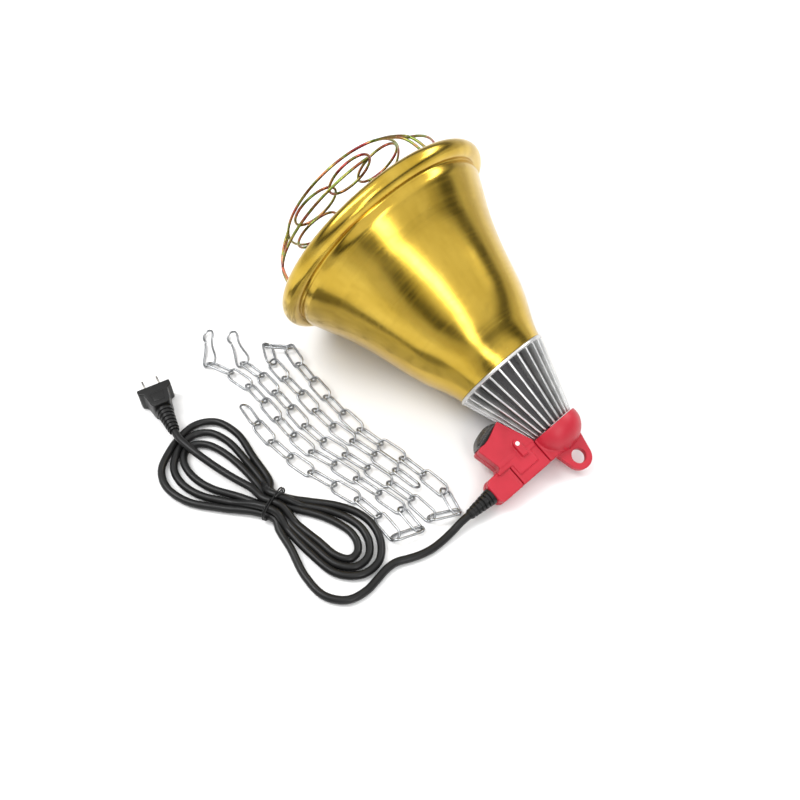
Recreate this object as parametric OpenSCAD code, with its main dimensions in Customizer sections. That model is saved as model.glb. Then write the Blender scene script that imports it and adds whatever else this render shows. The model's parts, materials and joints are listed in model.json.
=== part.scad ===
/* [Lie] */
// Dip of the lamp's axis as it lies on its rim and its end cap, in degrees
tilt = 21; // [20:0.5:22]
// Roll that lets the side arm down to the floor, in degrees
arm_roll = 7; // [6:0.5:7]

/* [Reflector] */
// Diameter over the rolled rim
rim_d = 210; // [206:1:214]
// Diameter of the roll
bead_d = 16; // [12:1:18]
// Length from the middle of the rim to the collar
bell_l = 147; // [143:1:150]
// Thickness of the spun sheet
sheet_t = 1.2; // [0.8:0.1:1.5]

/* [Collar] */
// Length of the finned collar
collar_l = 61.5; // [60:0.5:63]
// Diameter over the fins beside the bell
collar_front_d = 83; // [80:1:86]
// Diameter over the fins beside the cap
collar_rear_d = 41; // [39:1:42]
// Number of cooling fins
fins = 27; // [20:1:32]
// Thickness of one fin
fin_t = 1.7; // [1.2:0.1:2.2]

/* [Guard] */
// Diameter of the guard's wire
guard_wire_d = 2.4; // [2:0.1:3]
// How far the front hoop stands before the rim
guard_depth = 52; // [45:1:56]

/* [Housing] */
// Distance from the axis to the end of the side arm
arm_l = 77; // [75:1:78]
// Thickness of the side arm
arm_t = 16; // [15:0.5:16]
// Thickness of the switch box
box_t = 18; // [18:0.5:20]
// Wall thickness of the moulded shells
wall = 2.2; // [1.8:0.1:2.4]
// Diameter of the hole in the hanging eyelet
eye_d = 12; // [10:0.5:13]

/* [Switch] */
// Half of the angle through which the rocker tips
rock_a = 8; // [6:1:8]

/* [Cord] */
// Diameter of the supply cord
cord_d = 6.2; // [6:0.1:6.4]

/* [Chain] */
// Diameter of the chain's wire
chain_wire = 2; // [1.6:0.1:2.1]
// Outside length of one link
link_l = 28; // [27:0.5:29]
// Outside width of one link
link_w = 12; // [11:0.5:12.5]

/* [Hidden] */
$fn = 64;

// Middle of the whole fixture on the floor, seen from the point below the rim's centre
base_x = -67.6;
base_y = 32;

// Rim and reflector
bead_r = bead_d / 2;
rim_r = rim_d / 2 - bead_r;
rim_h = rim_r * cos(tilt) + bead_r;
collar_x = bell_l;
collar_end = collar_x + collar_l;
front_r = collar_front_d / 2;
rear_r = collar_rear_d / 2;
neck_r = 25;
plate_t = 3;
// Outside line of the bell: share of its length, and radius
bell_line = [[0.04, rim_r - 2.2], [0.13, 90.8], [0.28, 80], [0.45, 70.2],
             [0.62, 62.6], [0.78, 54.7], [0.9, 46.6], [1, front_r - 0.4]];

// Collar
core_gap = 8;
core_t = 3;
screw_ring_r = 29;
screw_r = 1.5;
screw_hole_r = 1.6;

// Socket
sock_x = 128;
sock_r = 23.5;
sock_bore_r = 14.2;
shell_r = 13.3;
sock_floor = 158;
sock_step = 165;
sock_end = 186;

// End cap, whose widest part touches the floor
cap_x = 212;
cap_l = 19.5;
cap_reach = (rim_h - cap_x * sin(tilt)) / cos(tilt);
cap_r = sqrt(pow(cap_reach, 2) - pow(tan(tilt) * cap_l, 2));
cap_front = collar_end + 0.1;

// Arm, box and eyelet, in the lamp's own frame with the arm towards -Y
arm_x0 = 208.7;
arm_x1 = 229.5;
arm_mid = (arm_x0 + arm_x1) / 2;
box_in = [178, -36];
box_out = [186, -64.5];
box_heel = [208.7, -60];
box_root = [208.7, -24];
lug_at = [201.6, -37];
cover_y = -53;
eye_x = 240.3;
eye_r = 11.4;
eye_t = 6;
cover_screw_at = [[225, -29], [225, -49], [203.5, -55.5]];
clamp_cover_screw_at = [[212.8, -60.5], [225.6, -60.5]];

// Switch, in a frame on the box's open end with +X outwards
face_mid = (box_in + box_out) / 2;
face_turn = 180 + atan2(box_out[0] - box_in[0], box_in[1] - box_out[1]);
rocker_x = 0.5;

// Cord, in millimetres from the point below the rim's centre
cord_r = cord_d / 2;
boot_l = 24;
boot_tip = -arm_l - boot_l;
neck_hole_r = 4.3;
block_x = 216.4;
exit_way = [-sin(arm_roll) * sin(tilt), -cos(arm_roll), -sin(arm_roll) * cos(tilt)];
exit_at = [arm_mid * cos(tilt) + boot_tip * sin(arm_roll) * sin(tilt),
           boot_tip * cos(arm_roll),
           rim_h - arm_mid * sin(tilt) + boot_tip * sin(arm_roll) * cos(tilt)];
cord_route = [exit_at, exit_at + 8 * exit_way, [199.9, -118, 5.2],
              [199.7, -128, 3.6], [199, -138, 3.3], [196.5, -148, 3.3],
              [192.5, -157, 3.3], [187.5, -165, 3.6], [181, -174, 4.4]];
hank_h = 14;
hank_outline = [[-15, -229], [-10, -243], [10, -254.5], [38, -251], [66, -232],
                [89, -213.5], [112, -214.5], [146, -224], [176, -225], [193, -211],
                [192, -192], [188, -173], [170, -160], [150, -155.5], [124, -163],
                [98, -183], [77, -188.5], [46, -181], [14, -176], [-11, -181],
                [-22, -194], [-22.5, -207], [-21.5, -221]];
tie_at = [88, -201];
tie_turn = 22;
tie_wire = 1.2;
tie_half = 16.4;
plug_tip = [-20.5, -217.2, 10];
plug_turn = 166;
plug_l = 48;
blade_pitch = 12.7;

// Chain, in millimetres from the point below the rim's centre
hook_gap = 1.6;
link_tip = link_l / 2 - chain_wire / 2;
link_pitch = 2 * (link_tip - hook_gap);
link_bend_r = (link_w - chain_wire) / 2;
link_roll = 35;
link_h = link_bend_r * sin(link_roll) + chain_wire / 2;
chain_long = [[-46, -129], [-20, -127], [20, -131], [60, -134], [100, -127], [140, -121],
              [166, -119], [185, -119], [190, -108], [186, -97], [166, -96],
              [140, -97], [115, -99], [88, -103], [60, -103], [30, -100], [0, -96],
              [-24, -91], [-39, -88], [-47, -96], [-45, -107], [-24, -111], [20, -115],
              [60, -118], [100, -113], [136, -109], [160, -108]];
chain_short = [[-66, -151], [-40, -143], [-20, -141], [20, -145], [60, -148], [100, -140],
               [140, -134], [164, -131], [179, -133], [183, -142], [177, -151],
               [160, -149], [134, -149], [105, -155], [78, -161], [48, -164],
               [16, -162], [-8, -158], [-22, -168]];
clip_roll = -28;
clip_r = 6;
clip_side = 6.2;
clip_line = [[22, 3.4, 0], [16, 3.7, 0], [9, 4.7, 0], [2, 6, 0], [-2.5, clip_side, 0],
             [-5.4, 4.6, 0], [-6, 0, 0], [-5.4, -4.6, 0], [-2.5, -clip_side, 0],
             [2, -6, 0], [9, -4.7, 0], [16, -3.7, 0], [22, -3.8, 0], [28, -5, 0],
             [33, -4.4, 0], [36, 0, 0], [33, 4.4, 0], [28.5, 4.9, 0], [24.8, 3.4, 0]];

// Everything that belongs to the lamp, with the axis along +X from the rim to the eyelet
module lamp() {
    translate([base_x, base_y, rim_h])
        rotate([arm_roll, tilt, 0])
            children();
}

// Everything that lies loose on the floor
module ground() {
    translate([base_x, base_y, 0]) children();
}

// A solid turned about the lamp's axis from points of [distance along it, radius]
module turned(points) {
    rotate([90, 0, 90])
        rotate_extrude($fn = 96)
            polygon([for (p = points) [p[1], p[0]]]);
}

// A round bar along the lamp's axis
module bar(x0, x1, r) {
    translate([x0, 0, 0]) rotate([0, 90, 0]) cylinder(h = x1 - x0, r = r);
}

function catmull(a, b, c, d, t) =
    0.5 * (2 * b + (c - a) * t + (2 * a - 5 * b + 4 * c - d) * t * t
           + (3 * b - a - 3 * c + d) * t * t * t);

// Smooth open line through points
function smooth(p, steps) =
    let (n = len(p))
    [for (i = [0 : n - 2], s = [0 : steps - 1])
         catmull(p[max(i - 1, 0)], p[i], p[i + 1], p[min(i + 2, n - 1)], s / steps),
     p[n - 1]];

// Smooth closed line through points
function smooth_loop(p, steps) =
    let (n = len(p))
    [for (i = [0 : n - 1], s = [0 : steps - 1])
         catmull(p[(i + n - 1) % n], p[i], p[(i + 1) % n], p[(i + 2) % n], s / steps)];

function run_length(p, i = 0, sum = 0) =
    i >= len(p) - 1 ? sum : run_length(p, i + 1, sum + norm(p[i + 1] - p[i]));

// Point at a distance along a line of points
function along(p, s, i = 0) =
    let (d = norm(p[i + 1] - p[i]))
    (s <= d || i >= len(p) - 2) ? p[i] + (p[i + 1] - p[i]) * s / d
                                : along(p, s - d, i + 1);

// A tube swept along points, closed at both ends
module sweep(points, r, sides) {
    n = len(points);
    rings = [for (i = [0 : n - 1])
        let (a = points[max(i - 1, 0)],
             b = points[min(i + 1, n - 1)],
             t = (b - a) / norm(b - a),
             u = cross(t, [0, 0, 1]) / norm(cross(t, [0, 0, 1])),
             v = cross(u, t))
        [for (k = [0 : sides - 1])
             points[i] + r * (cos(k * 360 / sides) * u + sin(k * 360 / sides) * v)]];
    polyhedron(
        points = [for (ring = rings, p = ring) p],
        faces = concat(
            [[for (k = [0 : sides - 1]) k]],
            [for (i = [0 : n - 2], k = [0 : sides - 1])
                 [i * sides + k, (i + 1) * sides + k,
                  (i + 1) * sides + (k + 1) % sides, i * sides + (k + 1) % sides]],
            [[for (k = [sides - 1 : -1 : 0]) (n - 1) * sides + k]]));
}

module reflector_bell() {
    line = smooth([for (k = bell_line) [k[0] * bell_l, k[1]]], 4);
    skin = sheet_t * 1.12;
    color("gold") lamp() {
        turned(concat(line, [for (i = [len(line) - 1 : -1 : 0]) line[i] - [0, skin]]));
        turned(concat(
            [for (a = [-22 : 12 : 326]) [bead_r * cos(a), rim_r + bead_r * sin(a)]],
            [for (a = [326 : -12 : -22])
                 [(bead_r - sheet_t) * cos(a), rim_r + (bead_r - sheet_t) * sin(a)]]));
        difference() {
            turned([[bell_l - sheet_t, neck_r], [bell_l, neck_r],
                    [bell_l, front_r - 0.6], [bell_l - sheet_t, front_r - 0.6]]);
            screw_circle(bell_l - 5, bell_l + 5, screw_hole_r);
        }
    }
}

module screw_circle(x0, x1, r) {
    for (a = [0 : 120 : 240])
        rotate([a, 0, 0]) translate([0, 0, screw_ring_r]) bar(x0, x1, r);
}

module clamp_ring() {
    color("silver") lamp() difference() {
        turned([[bell_l - sheet_t - 2.5, neck_r], [bell_l - sheet_t, neck_r],
                [bell_l - sheet_t, 33], [bell_l - sheet_t - 2.5, 33]]);
        screw_circle(bell_l - 8, bell_l, screw_hole_r);
    }
}

module clamp_screws() {
    head_x = bell_l - sheet_t - 2.5;
    color("silver") lamp() {
        screw_circle(head_x - 2, head_x, 2.8);
        screw_circle(head_x - 1, collar_x + plate_t + 3, screw_r);
    }
}

// Cast heat sink: a hollow core with straight fins, thin ring at the bell
module finned_collar() {
    fin_x = collar_x + plate_t - 0.5;
    slope = (front_r - rear_r) / collar_l;
    color("lightgray") lamp() {
        difference() {
            union() {
                turned([[collar_x + 0.3, neck_r], [collar_x + 0.3, front_r + 0.7],
                        [collar_x + plate_t, front_r + 0.7],
                        [collar_x + plate_t, front_r - core_gap],
                        [collar_end, rear_r - 3.5], [collar_end, 6],
                        [collar_end - 3, 6], [collar_end - 3, rear_r - 3.5 - core_t],
                        [collar_x + plate_t, front_r - core_gap - core_t],
                        [collar_x + plate_t, neck_r]]);
                for (i = [0 : fins - 1])
                    rotate([i * 360 / fins, 0, 0])
                        translate([0, fin_t / 2, 0])
                            rotate([90, 0, 0])
                                linear_extrude(fin_t)
                                    polygon([[fin_x, front_r - core_gap - 1],
                                             [fin_x, front_r - slope * plate_t],
                                             [collar_end, rear_r],
                                             [collar_end, rear_r - 4.5]]);
            }
            screw_circle(collar_x - 2, collar_x + 8, screw_hole_r);
        }
    }
}

// Wire bent round part of a circle about the lamp's axis
module hoop(x, r, a0, turn) {
    translate([x, 0, 0])
        rotate([a0, 0, 0])
            rotate([90, 0, 90])
                rotate_extrude(angle = turn)
                    translate([r, 0]) circle(d = guard_wire_d, $fn = 24);
}

// One leg wire, an arc from inside the rim to the front hoop
module guard_leg(shift) {
    foot = [2, rim_r - bead_r - 2.4];
    top = [-guard_depth, 60];
    mid = [-30, 83];
    b = mid - foot;
    c = top - foot;
    k = 2 * (b[0] * c[1] - b[1] * c[0]);
    u = [(c[1] * (b * b) - b[1] * (c * c)) / k, (b[0] * (c * c) - c[0] * (b * b)) / k];
    centre = foot + u;
    r = norm(u);
    a_foot = atan2(foot[1] - centre[1], foot[0] - centre[0]);
    a_top = atan2(top[1] - centre[1], top[0] - centre[0]);
    translate([centre[0], shift, centre[1]])
        rotate([90, 0, 0])
            rotate([0, 0, a_foot])
                rotate_extrude(angle = a_top - a_foot)
                    translate([r, 0]) circle(d = guard_wire_d, $fn = 24);
}

module wire_guard() {
    petal_r = 21;
    foot_x = 2;
    foot_r = rim_r - bead_r - 2.4;
    color("goldenrod") lamp() {
        hoop(-guard_depth, 60, 0, 360);
        hoop(-30, 83, 94, 334);
        for (a = [-25 : 120 : 215])
            rotate([a, 0, 0]) {
                guard_leg(-3.6);
                guard_leg(3.6);
                translate([foot_x, 0, foot_r])
                    rotate([0, 0, -90])
                        rotate_extrude(angle = 180)
                            translate([3.6, 0]) circle(d = guard_wire_d, $fn = 24);
            }
        for (i = [0 : 5])
            rotate([i * 60 - 55, 0, 0])
                translate([0, 0, 38])
                    hoop((i % 2 + 1) * (guard_wire_d + 0.1) - guard_depth, petal_r, 0, 360);
    }
}

module lamp_socket() {
    color("ivory") lamp() difference() {
        turned([[sock_x, 0], [sock_x, sock_r - 1.5], [sock_x + 1.5, sock_r],
                [sock_step, sock_r], [sock_step + 3, 17], [sock_end, 17], [sock_end, 0]]);
        bar(sock_x - 1, sock_floor, sock_bore_r);
        for (s = [-1, 1])
            translate([0, s * 11, 0]) bar(sock_end - 9, sock_end + 1, screw_hole_r);
    }
}

module socket_shell() {
    color("peru") lamp()
        turned([[sock_x + 1, shell_r], [sock_x + 1, sock_bore_r - 0.1],
                [sock_floor - 1, sock_bore_r - 0.1], [sock_floor - 1, 8],
                [sock_floor - 2, 8], [sock_floor - 2, shell_r]]);
}

module centre_contact() {
    color("peru") lamp() {
        bar(sock_floor - 1.2, sock_floor - 0.1, 5);
        bar(sock_floor - 1.9, sock_floor - 1.1, 3);
    }
}

module socket_terminals() {
    color("peru") lamp()
        for (s = [-1, 1])
            translate([sock_end + 0.1, -4, s * 11 - 3.5])
                difference() {
                    cube([7, 8, 7]);
                    translate([-1, 4, 3.5]) rotate([0, 90, 0]) cylinder(h = 9, r = 1.6);
                }
}

module socket_bracket() {
    color("silver") lamp() difference() {
        intersection() {
            translate([sock_end + 0.1, -20, -6]) cube([1.5, 40, 12]);
            bar(sock_end, sock_end + 3, 19.2);
        }
        bar(sock_end - 1, sock_end + 3, 5);
        for (s = [-1, 1])
            translate([0, s * 11, 0]) bar(sock_end - 1, sock_end + 3, screw_hole_r);
    }
}

module socket_screws() {
    color("silver") lamp()
        for (s = [-1, 1])
            translate([0, s * 11, 0]) {
                bar(sock_end - 8, sock_end + 2, screw_r);
                bar(sock_end + 1.6, sock_end + 3.6, 2.8);
            }
}

// Outline of the arm and the switch box, seen from above
module arm_plan() {
    polygon([[arm_x1, -8], [arm_x1, -arm_l + 2], [arm_x1 - 2, -arm_l],
             [arm_x0 + 2, -arm_l], [arm_x0, -arm_l + 3], [arm_x0, -20],
             [arm_x1 - 8, -20], [arm_x1 - 8, -8]]);
}

module box_plan() {
    polygon([box_in, box_out, box_heel, [arm_x0 + 1, -60], [arm_x0 + 1, -24], box_root]);
}

module arm_hollow() {
    polygon([[arm_x1 - wall, -22.5], [arm_x1 - wall, -arm_l + wall],
             [arm_x0 + wall, -arm_l + wall], [arm_x0 + wall, -15],
             [arm_x1 - 10, -15], [arm_x1 - 10, -22.5]]);
}

module box_hollow() {
    polygon([box_in + [2.8, -1.6], box_out + [1.6, 2.6], [arm_x0 + wall + 1, -57.8],
             [arm_x0 + wall + 1, -27]]);
}

module posts(places, z0, z1, r) {
    for (p = places)
        translate([p[0], p[1], z0]) cylinder(h = z1 - z0, r = r);
}

module at_face() {
    translate([face_mid[0], face_mid[1], 0]) rotate([0, 0, face_turn]) children();
}

module switch_hole() {
    at_face() translate([-8, -9.6, -6.5]) cube([12, 19.2, 13]);
}

// Lower moulding: dome cap, eyelet, floor of the arm and of the switch box
module rear_housing() {
    color("crimson") lamp() difference() {
        union() {
            turned(concat(
                [for (a = [-10 : 10 : 90])
                     [max(cap_front, cap_x + cap_l * sin(a)), cap_r * cos(a)]],
                [for (a = [90 : -10 : -10])
                     [max(cap_front, cap_x + (cap_l - wall) * sin(a)),
                      (cap_r - wall) * cos(a)]]));
            translate([0, 0, -eye_t / 2]) linear_extrude(eye_t)
                polygon([[222, -15], [229, -14.6], [eye_x + 2, -eye_r + 0.2],
                         [eye_x + 2, eye_r - 0.2], [229, 14.6], [222, 15]]);
            translate([eye_x, 0, -eye_t / 2]) cylinder(h = eye_t, r = eye_r);
            translate([0, 0, -arm_t / 2]) linear_extrude(arm_t) intersection() {
                arm_plan();
                translate([arm_x0 - 5, -23.5]) square([40, 30]);
            }
            difference() {
                union() {
                    translate([0, 0, -arm_t / 2]) linear_extrude(arm_t / 2) arm_plan();
                    translate([0, 0, -box_t / 2]) linear_extrude(box_t / 2) box_plan();
                }
                translate([0, 0, -box_t / 2 + wall]) linear_extrude(30) box_hollow();
                translate([0, 0, -arm_t / 2 + wall]) linear_extrude(30) arm_hollow();
            }
            posts(cover_screw_at, -arm_t / 2 + 0.5, 0, 3);
            posts(clamp_cover_screw_at, -arm_t / 2 + 0.5, 0, 3);
        }
        translate([0, 0, -arm_t / 2 + wall]) linear_extrude(arm_t - 2 * wall)
            intersection() {
                arm_hollow();
                translate([arm_x0 - 5, -24.5]) square([40, 30]);
            }
        switch_hole();
        translate([arm_mid, -60, 0]) rotate([90, 0, 0]) cylinder(h = 30, r = neck_hole_r);
        translate([eye_x, 0, -20]) cylinder(h = 40, d = eye_d);
        posts(cover_screw_at, -20, 2, 1.3);
        posts(clamp_cover_screw_at, -20, 2, 1.3);
        posts(cover_screw_at, -20, -arm_t / 2 + 1.8, 2.7);
        posts(clamp_cover_screw_at, -20, -arm_t / 2 + 1.8, 2.7);
    }
}

// Upper moulding over the arm and the switch box, with its small raised lug
module housing_cover() {
    color("crimson") lamp() difference() {
        union() {
            difference() {
                union() {
                    translate([0, 0, 0.05]) linear_extrude(arm_t / 2 - 0.05)
                        intersection() {
                            arm_plan();
                            translate([arm_x0 - 5, cover_y]) square([40, -23.6 - cover_y]);
                        }
                    translate([0, 0, 0.05]) linear_extrude(box_t / 2 - 0.05) box_plan();
                    translate([arm_x0 + 1, -46, arm_t / 2 - 1]) cube([12, 18, 2.4]);
                    translate([lug_at[0], lug_at[1], box_t / 2 - 1]) {
                        translate([0, -3, 0]) cube([11, 6, 4.2]);
                        cylinder(h = 4.2, r = 3);
                    }
                }
                translate([0, 0, -1]) linear_extrude(arm_t / 2 - wall + 1)
                    intersection() {
                        arm_hollow();
                        translate([arm_x0 - 5, cover_y + 1.5]) square([40, 40]);
                    }
                translate([0, 0, -1]) linear_extrude(box_t / 2 - wall + 1) box_hollow();
                switch_hole();
                translate([lug_at[0], lug_at[1], -5]) cylinder(h = 30, r = 1.3);
            }
            posts(cover_screw_at, 0.05, arm_t / 2 - 1, 3);
        }
        posts(cover_screw_at, -1, 5, 1.3);
    }
}

// Short cover over the cord end of the arm
module clamp_cover() {
    top = arm_t / 2 - 0.8;
    color("crimson") lamp() difference() {
        union() {
            difference() {
                translate([0, 0, 0.05]) linear_extrude(top - 0.05)
                    intersection() {
                        arm_plan();
                        translate([arm_x0 - 5, -arm_l - 5])
                            square([40, arm_l + 5 + cover_y - 0.3]);
                    }
                translate([0, 0, -1]) linear_extrude(top - wall + 1)
                    intersection() {
                        arm_hollow();
                        translate([arm_x0 - 5, -arm_l]) square([40, arm_l + cover_y - 1.5]);
                    }
                translate([arm_mid, 0, 0]) rotate([90, 0, 0])
                    cylinder(h = arm_l + 1, r = neck_hole_r);
            }
            posts(clamp_cover_screw_at, 0.05, top - 1, 3);
        }
        posts(clamp_cover_screw_at, -1, 5, 1.3);
        translate([0, 0, -1]) linear_extrude(30) offset(delta = 0.3) box_plan();
    }
}

module cover_screws() {
    color("silver") lamp() {
        posts(cover_screw_at, -arm_t / 2 + 0.2, -arm_t / 2 + 1.7, 2.5);
        posts(cover_screw_at, -arm_t / 2 + 1, 4.5, 1.2);
        posts(clamp_cover_screw_at, -arm_t / 2 + 0.2, -arm_t / 2 + 1.7, 2.5);
        posts(clamp_cover_screw_at, -arm_t / 2 + 1, 4.5, 1.2);
    }
}

module switch_body() {
    color("dimgray") lamp() at_face() difference() {
        union() {
            translate([0, -10.9, -7.6]) cube([1.8, 21.8, 15.2]);
            translate([-14, -9.3, -6.2]) cube([14.1, 18.6, 12.4]);
        }
        translate([-7, -8.6, -5.4]) cube([20, 17.2, 10.8]);
        translate([rocker_x, 0, -10]) cylinder(h = 20, r = 1.06);
    }
}

module switch_rocker() {
    color("black") lamp() at_face() {
        translate([rocker_x, 0, 0]) {
            rotate([0, 0, -rock_a])
                translate([0, 0, -3.9])
                    linear_extrude(7.8)
                        polygon([[-4.2, -6.6], [-0.5, -7.8], [2.9, -7.8], [2.2, -4],
                                 [1.9, 0], [2.2, 4], [2.9, 7.8], [-0.5, 7.8], [-4.2, 6.6]]);
            translate([0, 0, -6]) cylinder(h = 12, r = 1);
        }
    }
}

module seal_form(inset, reach) {
    hull() {
        for (y = [-1, 1], z = [-1, 1])
            translate([0, y * (9.4 - inset), z * (5.9 - inset)])
                rotate([0, 90, 0]) cylinder(h = 2.2, r = 3, $fn = 24);
        for (y = [-1, 1])
            translate([reach - 4.2, y * (5.5 - inset), 0]) sphere(r = 4.2, $fn = 24);
    }
}

// Soft cover bulging over the rocker
module switch_seal() {
    color("gray", 0.6) lamp() at_face() difference() {
        translate([0.05, 0, 0]) seal_form(0, 8);
        translate([-1, 0, 0]) seal_form(1.1, 7.9);
        translate([-1, -11.1, -7.8]) cube([3, 22.2, 15.6]);
    }
}

module switch_tabs() {
    color("peru") lamp() at_face()
        for (y = [-5, 5])
            translate([-20, y - 0.4, -2.4]) cube([6, 0.8, 4.8]);
}

module terminal_block() {
    color("white") lamp() difference() {
        translate([block_x - 5, -44, -5.7]) cube([10, 11, 8]);
        for (s = [-1, 1])
            translate([block_x + s * 2.6, -32, -1.7]) rotate([90, 0, 0])
                cylinder(h = 13, r = 1.5);
    }
}

module live_lead() {
    color("saddlebrown") lamp()
        sweep(smooth([[sock_end + 7.5, 0, 11], [sock_end + 13, -1, 8], [sock_end + 19, -2, 3],
                      [block_x - 6.6, -4.4, 1.8], [block_x - 3.6, -14, 0],
                      [block_x - 2.6, -22, -1], [block_x - 2.6, -33.5, -1.7]], 3), 1.2, 8);
}

module neutral_lead() {
    color("steelblue") lamp()
        sweep(smooth([[sock_end + 7.5, 0, -11], [sock_end + 13, -1, -8],
                      [sock_end + 19, -2, -3.6], [block_x - 5, -6, -2.8],
                      [block_x - 0.6, -14, -3], [block_x + 1.4, -22, -2.4],
                      [block_x + 2.6, -33.5, -1.7]], 3), 1.2, 8);
}

module cord_clamp() {
    color("silver") lamp() difference() {
        translate([arm_mid - 6.5, -69, 3.2]) cube([13, 5, 1]);
        for (s = [-1, 1])
            translate([arm_mid + s * 4.9, -66.5, 0]) cylinder(h = 10, r = 1);
    }
}

module cord_clamp_screws() {
    color("silver") lamp()
        for (s = [-1, 1])
            translate([arm_mid + s * 4.9, -66.5, 0]) {
                translate([0, 0, -5.7]) cylinder(h = 10, r = 0.95);
                translate([0, 0, 4.2]) cylinder(h = 0.6, r = 1.5);
            }
}

// Tapered rubber sleeve with slots, held in the arm's end by a neck
module strain_relief() {
    slot_w = 1.7;
    color("black") lamp() translate([arm_mid, 0, 0]) rotate([90, 0, 0]) difference() {
        union() {
            translate([0, 0, arm_l + 0.1]) cylinder(h = boot_l - 0.1, r1 = 6.7, r2 = 4.4);
            translate([0, 0, arm_l - 3]) cylinder(h = 4, r = neck_hole_r - 0.15);
            translate([0, 0, arm_l - wall - 2]) cylinder(h = 1.8, r = 4.8);
        }
        translate([0, 0, arm_l - 10]) cylinder(h = boot_l + 20, r = cord_r + 0.05);
        for (i = [0 : 2], s = [-1, 1]) {
            translate([s * 3.9 - 1.6 + s * 1.6, -8, arm_l + 4 + i * 6.4])
                cube([3.2, 16, slot_w]);
            translate([-8, s * 3.9 - 1.6 + s * 1.6, arm_l + 7.2 + i * 6.4])
                cube([16, 3.2, slot_w]);
        }
    }
}

module cord_entry() {
    color("black") lamp() translate([arm_mid, -56, 0]) rotate([90, 0, 0])
        cylinder(h = arm_l + boot_l - 56, r = cord_r);
}

module supply_cord() {
    color("black") ground() sweep(cord_route, cord_r, 10);
}

module tie_box(grow) {
    translate([tie_at[0], tie_at[1], 0])
        rotate([0, 0, tie_turn])
            translate([-1.8 - grow, -tie_half - grow, -grow])
                cube([3.6 + 2 * grow, 2 * (tie_half + grow), tie_wire + 2 * grow]);
}

module cord_hank() {
    color("black") ground() difference() {
        linear_extrude(hank_h) polygon(smooth_loop(hank_outline, 3));
        tie_box(0.1);
    }
}

// Thin tie wrapped twice round the hank's waist
module hank_tie() {
    color("black") ground()
        translate([tie_at[0], tie_at[1], 0])
            rotate([0, 0, tie_turn])
                for (x = [-1.7, 0.5])
                    translate([x, 0, 0]) rotate([90, 0, 90]) linear_extrude(tie_wire)
                        difference() {
                            translate([-tie_half, 0]) square([2 * tie_half, hank_h + 2.4]);
                            translate([-tie_half + tie_wire, tie_wire])
                                square([2 * (tie_half - tie_wire), hank_h]);
                        }
}

// Flat two-pin plug with a ribbed sleeve, its cord end at the frame's origin
module plug() {
    ground() translate(plug_tip) rotate([0, 0, plug_turn]) children();
}

module plug_body() {
    color("black") plug() difference() {
        union() {
            rotate([0, 90, 0]) cylinder(h = 28, r1 = 4, r2 = 6.4);
            for (x = [3 : 4 : 23])
                translate([x, 0, 0]) rotate([0, 90, 0]) cylinder(h = 2, r = 4.9 + x * 0.08);
            linear_extrude(20, center = true)
                polygon([[25, -7.2], [29, -8.8], [38, -10.6], [42, -14.4], [plug_l, -14.4],
                         [plug_l, 14.4], [42, 14.4], [38, 10.6], [29, 8.8], [25, 7.2]]);
        }
        for (s = [-1, 1])
            translate([plug_l - 8, s * blade_pitch / 2 - 0.8, -3.2]) cube([10, 1.6, 6.4]);
        translate([30, -5, 9.2]) cube([8, 10, 3]);
        rotate([0, 90, 0]) translate([0, 0, -1]) cylinder(h = 6, r = cord_r);
    }
}

module plug_blades() {
    color("silver") plug()
        for (s = [-1, 1])
            translate([plug_l - 7, s * blade_pitch / 2 - 0.75, -3.15]) difference() {
                cube([22.5, 1.5, 6.3]);
                translate([19, -1, 3.15]) rotate([-90, 0, 0]) cylinder(h = 4, r = 1.3);
            }
}

// Oval wire loop, lying along +X from the middle of its first end
module wire_loop(l, r, d) {
    for (s = [-1, 1])
        translate([0, s * r, 0]) rotate([0, 90, 0]) cylinder(h = l, d = d, $fn = 24);
    rotate([0, 0, 90]) rotate_extrude(angle = 180)
        translate([r, 0]) circle(d = d, $fn = 24);
    translate([l, 0, 0]) rotate([0, 0, -90]) rotate_extrude(angle = 180)
        translate([r, 0]) circle(d = d, $fn = 24);
}

// One chain link between two hooking points on the floor plan
module chain_link(a, b, roll) {
    d = b - a;
    span = 2 * (link_tip - link_bend_r);
    translate([(a[0] + b[0]) / 2, (a[1] + b[1]) / 2, link_h])
        rotate([0, 0, atan2(d[1], d[0])])
            rotate([roll, 0, 0])
                translate([-span / 2, 0, 0])
                    wire_loop(span, link_bend_r, chain_wire);
}

module chain_run(route) {
    line = smooth(route, 6);
    links = floor(run_length(line) / link_pitch);
    for (i = [0 : links - 1])
        chain_link(along(line, i * link_pitch), along(line, (i + 1) * link_pitch),
                   i % 2 == 0 ? -link_roll : link_roll);
}

module hanging_chain() {
    color("silver") ground() {
        chain_run(chain_long);
        chain_run(chain_short);
    }
}

// Bottle-shaped spring clip whose wide end holds the chain at a point
module clip(at, turn) {
    translate([at[0], at[1], clip_side * sin(-clip_roll) + chain_wire / 2])
        rotate([0, 0, turn])
            rotate([clip_roll, 0, 0])
                translate([clip_r - hook_gap, 0, 0])
                    sweep(smooth(clip_line, 2), chain_wire / 2, 8);
}

module snap_clips() {
    color("silver") ground() {
        clip(chain_long[0], 160);
        clip(chain_short[0], 147);
    }
}

reflector_bell();
clamp_ring();
clamp_screws();
finned_collar();
wire_guard();
lamp_socket();
socket_shell();
centre_contact();
socket_terminals();
socket_bracket();
socket_screws();
rear_housing();
housing_cover();
clamp_cover();
cover_screws();
switch_body();
switch_rocker();
switch_seal();
switch_tabs();
terminal_block();
live_lead();
neutral_lead();
cord_clamp();
cord_clamp_screws();
strain_relief();
cord_entry();
supply_cord();
cord_hank();
hank_tie();
plug_body();
plug_blades();
hanging_chain();
snap_clips();
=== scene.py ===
import json
import math
import random

import bmesh
import bpy
import numpy as np
from mathutils import Matrix, Vector

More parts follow.
